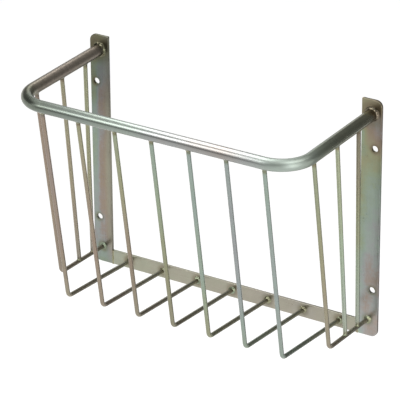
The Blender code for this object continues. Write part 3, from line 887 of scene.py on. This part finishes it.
# The studio: a pale floor far below, soft lamps, and dark cards that the camera doesn't see but the
# polished metal does
studio = {
    "floorHeight": -0.60,
    "floorRadius": 12.0,
    "floorSides": 96,
    "floorColour": (0.55, 0.55, 0.545),
    "floorGlow": 0.66,
    "mattRoughness": 0.9,
    "worldLevel": 0.55,
}
lamps = {
    # name: place, aimed at, width, height, how far it is turned about its own axis, radiance
    "key": ((-0.91, -1.58, 1.56), (0.14, -0.33, 0.37), 0.56, 1.18, 0.0, 3.2),
    "strip": ((-0.50, 0.27, 1.37), (-0.50, 0.27, 0.0), 0.50, 1.36, 0.417, 3.2),
    "corner": ((0.75, -0.30, 1.37), (0.24, -0.23, 0.37), 0.60, 0.60, 0.0, 2.6),
    "side": ((1.30, -0.80, 0.35), (0.24, -0.23, 0.37), 0.60, 1.30, 0.0, 1.7),
}
cards = {
    # name: middle, from there to its right edge, from there to its top edge, brightness
    "behind": ((0.90, 1.70, 0.90), (1.70, 0.0, 0.0), (0.0, 0.0, 0.95), 0.20),
    "behindHigh": ((0.50, 1.70, 2.35), (1.70, 0.0, 0.0), (0.0, 0.0, 0.50), 0.35),
    "left": ((-1.50, 0.20, 1.05), (0.0, 1.30, 0.0), (0.0, 0.0, 0.55), 0.15),
    "front": ((0.60, -2.00, 1.50), (0.95, 0.0, 0.0), (0.0, 0.0, 1.10), 0.50),
    "low": ((-1.10, -2.00, 0.22), (0.85, 0.0, 0.0), (0.0, 0.0, 0.38), 0.45),
    "right": ((1.60, 0.75, 1.30), (0.0, 0.60, 0.0), (0.0, 0.0, 0.75), 0.30),
    "under": ((1.28, 1.25, -0.32), (0.48, 0.0, 0.0), (0.0, 0.45, 0.26), 0.22),
    "behindLow": ((-1.35, 1.70, -0.12), (0.55, 0.0, 0.0), (0.0, 0.0, 0.47), 0.30),
    "ground": ((0.35, 0.75, -0.56), (0.75, 0.0, 0.0), (0.0, 0.38, 0.0), 0.40),
}


def seenRays(tree):
    # one for the camera and for what polished and clear surfaces show, nought for other light
    path = addNode(tree, "ShaderNodeLightPath").outputs
    seen = mathOf(tree, "MAXIMUM", path["Is Camera Ray"], path["Is Glossy Ray"])
    return mathOf(tree, "MAXIMUM", seen, path["Is Transmission Ray"])


def plainMaterial(name, colour, glow):
    # a matt colour, with a glow that only the camera and polished or clear surfaces see
    material = bpy.data.materials.new(name)
    material.use_nodes = True
    tree = material.node_tree
    surface = tree.nodes["Principled BSDF"]
    surface.inputs["Base Color"].default_value = (*colour, 1.0)
    surface.inputs["Roughness"].default_value = studio["mattRoughness"]
    surface.inputs["Emission Color"].default_value = (1, 1, 1, 1)
    tree.links.new(mathOf(tree, "MULTIPLY", seenRays(tree), glow), surface.inputs["Emission Strength"])
    return material


def addStagePiece(name, points, faces, material):
    mesh = bpy.data.meshes.new(name)
    mesh.from_pydata([tuple(point) for point in points], [], faces)
    mesh.materials.append(material)
    sheet = bpy.data.objects.new(name, mesh)
    bpy.context.scene.collection.objects.link(sheet)
    return sheet


def makeStudio():
    angle = np.linspace(0, fullTurn, studio["floorSides"], endpoint=False)
    ring = studio["floorRadius"] * np.stack([np.cos(angle), np.sin(angle), 0 * angle], axis=-1)
    ring[:, 2] = studio["floorHeight"]
    floorMaterial = plainMaterial("floor_pale", studio["floorColour"], studio["floorGlow"])
    addStagePiece("floor", ring, [list(range(len(ring)))], floorMaterial)
    for name, (middle, across, up, brightness) in cards.items():
        middle, across, up = (np.array(v) for v in (middle, across, up))
        corners = [middle - across - up, middle + across - up, middle + across + up, middle - across + up]
        dark = plainMaterial("card_" + name, (0.0, 0.0, 0.0), brightness)
        card = addStagePiece("card_" + name, corners, [(0, 1, 2, 3)], dark)
        card.visible_camera = card.visible_shadow = card.visible_diffuse = False
    world = bpy.data.worlds.new("studio")
    bpy.context.scene.world = world
    world.use_nodes = True
    tree = world.node_tree
    dim = studio["worldLevel"]
    level = mathOf(tree, "MULTIPLY_ADD", seenRays(tree), 1.0 - dim, dim)
    background = tree.nodes["Background"]
    background.inputs["Color"].default_value = (1, 1, 1, 1)
    tree.links.new(level, background.inputs["Strength"])
    for name, (place, aim, width, height, turn, radiance) in lamps.items():
        data = bpy.data.lights.new("lamp_" + name, "AREA")
        data.shape = "RECTANGLE"
        data.size, data.size_y = width, height
        data.energy = radiance * math.pi * width * height
        lamp = bpy.data.objects.new("lamp_" + name, data)
        bpy.context.scene.collection.objects.link(lamp)
        lamp.location = place
        facing = (Vector(place) - Vector(aim)).to_track_quat("Z", "Y")
        lamp.rotation_euler = (facing @ Quaternion((0, 0, 1), turn)).to_euler()
        lamp.visible_camera = False


# The camera stands to the right of the rack and above it, a long lens well back
camera = {
    "place": (2.2008, -3.6022, 2.1875),
    "yaw": 0.5613,
    "pitch": 0.4473,
    "roll": -0.0072,
    "lens": 260.97,
    "sensor": 36.0,
}


def makeCamera():
    yaw, pitch, roll = camera["yaw"], camera["pitch"], camera["roll"]
    right = Vector((math.cos(yaw), math.sin(yaw), 0))
    ahead = Vector((-math.sin(yaw) * math.cos(pitch), math.cos(yaw) * math.cos(pitch), -math.sin(pitch)))
    up = right.cross(ahead)
    rolledRight = math.cos(roll) * right + math.sin(roll) * up
    rolledUp = math.cos(roll) * up - math.sin(roll) * right
    turned = Matrix((rolledRight, rolledUp, -ahead)).transposed().to_4x4()
    turned.translation = Vector(camera["place"])
    data = bpy.data.cameras.new("camera")
    data.lens, data.sensor_width = camera["lens"], camera["sensor"]
    eye = bpy.data.objects.new("camera", data)
    bpy.context.scene.collection.objects.link(eye)
    eye.matrix_world = turned
    bpy.context.scene.camera = eye


makeStudio()
makeCamera()
bpy.context.scene.view_settings.view_transform = "Standard"
print("studio and camera made")
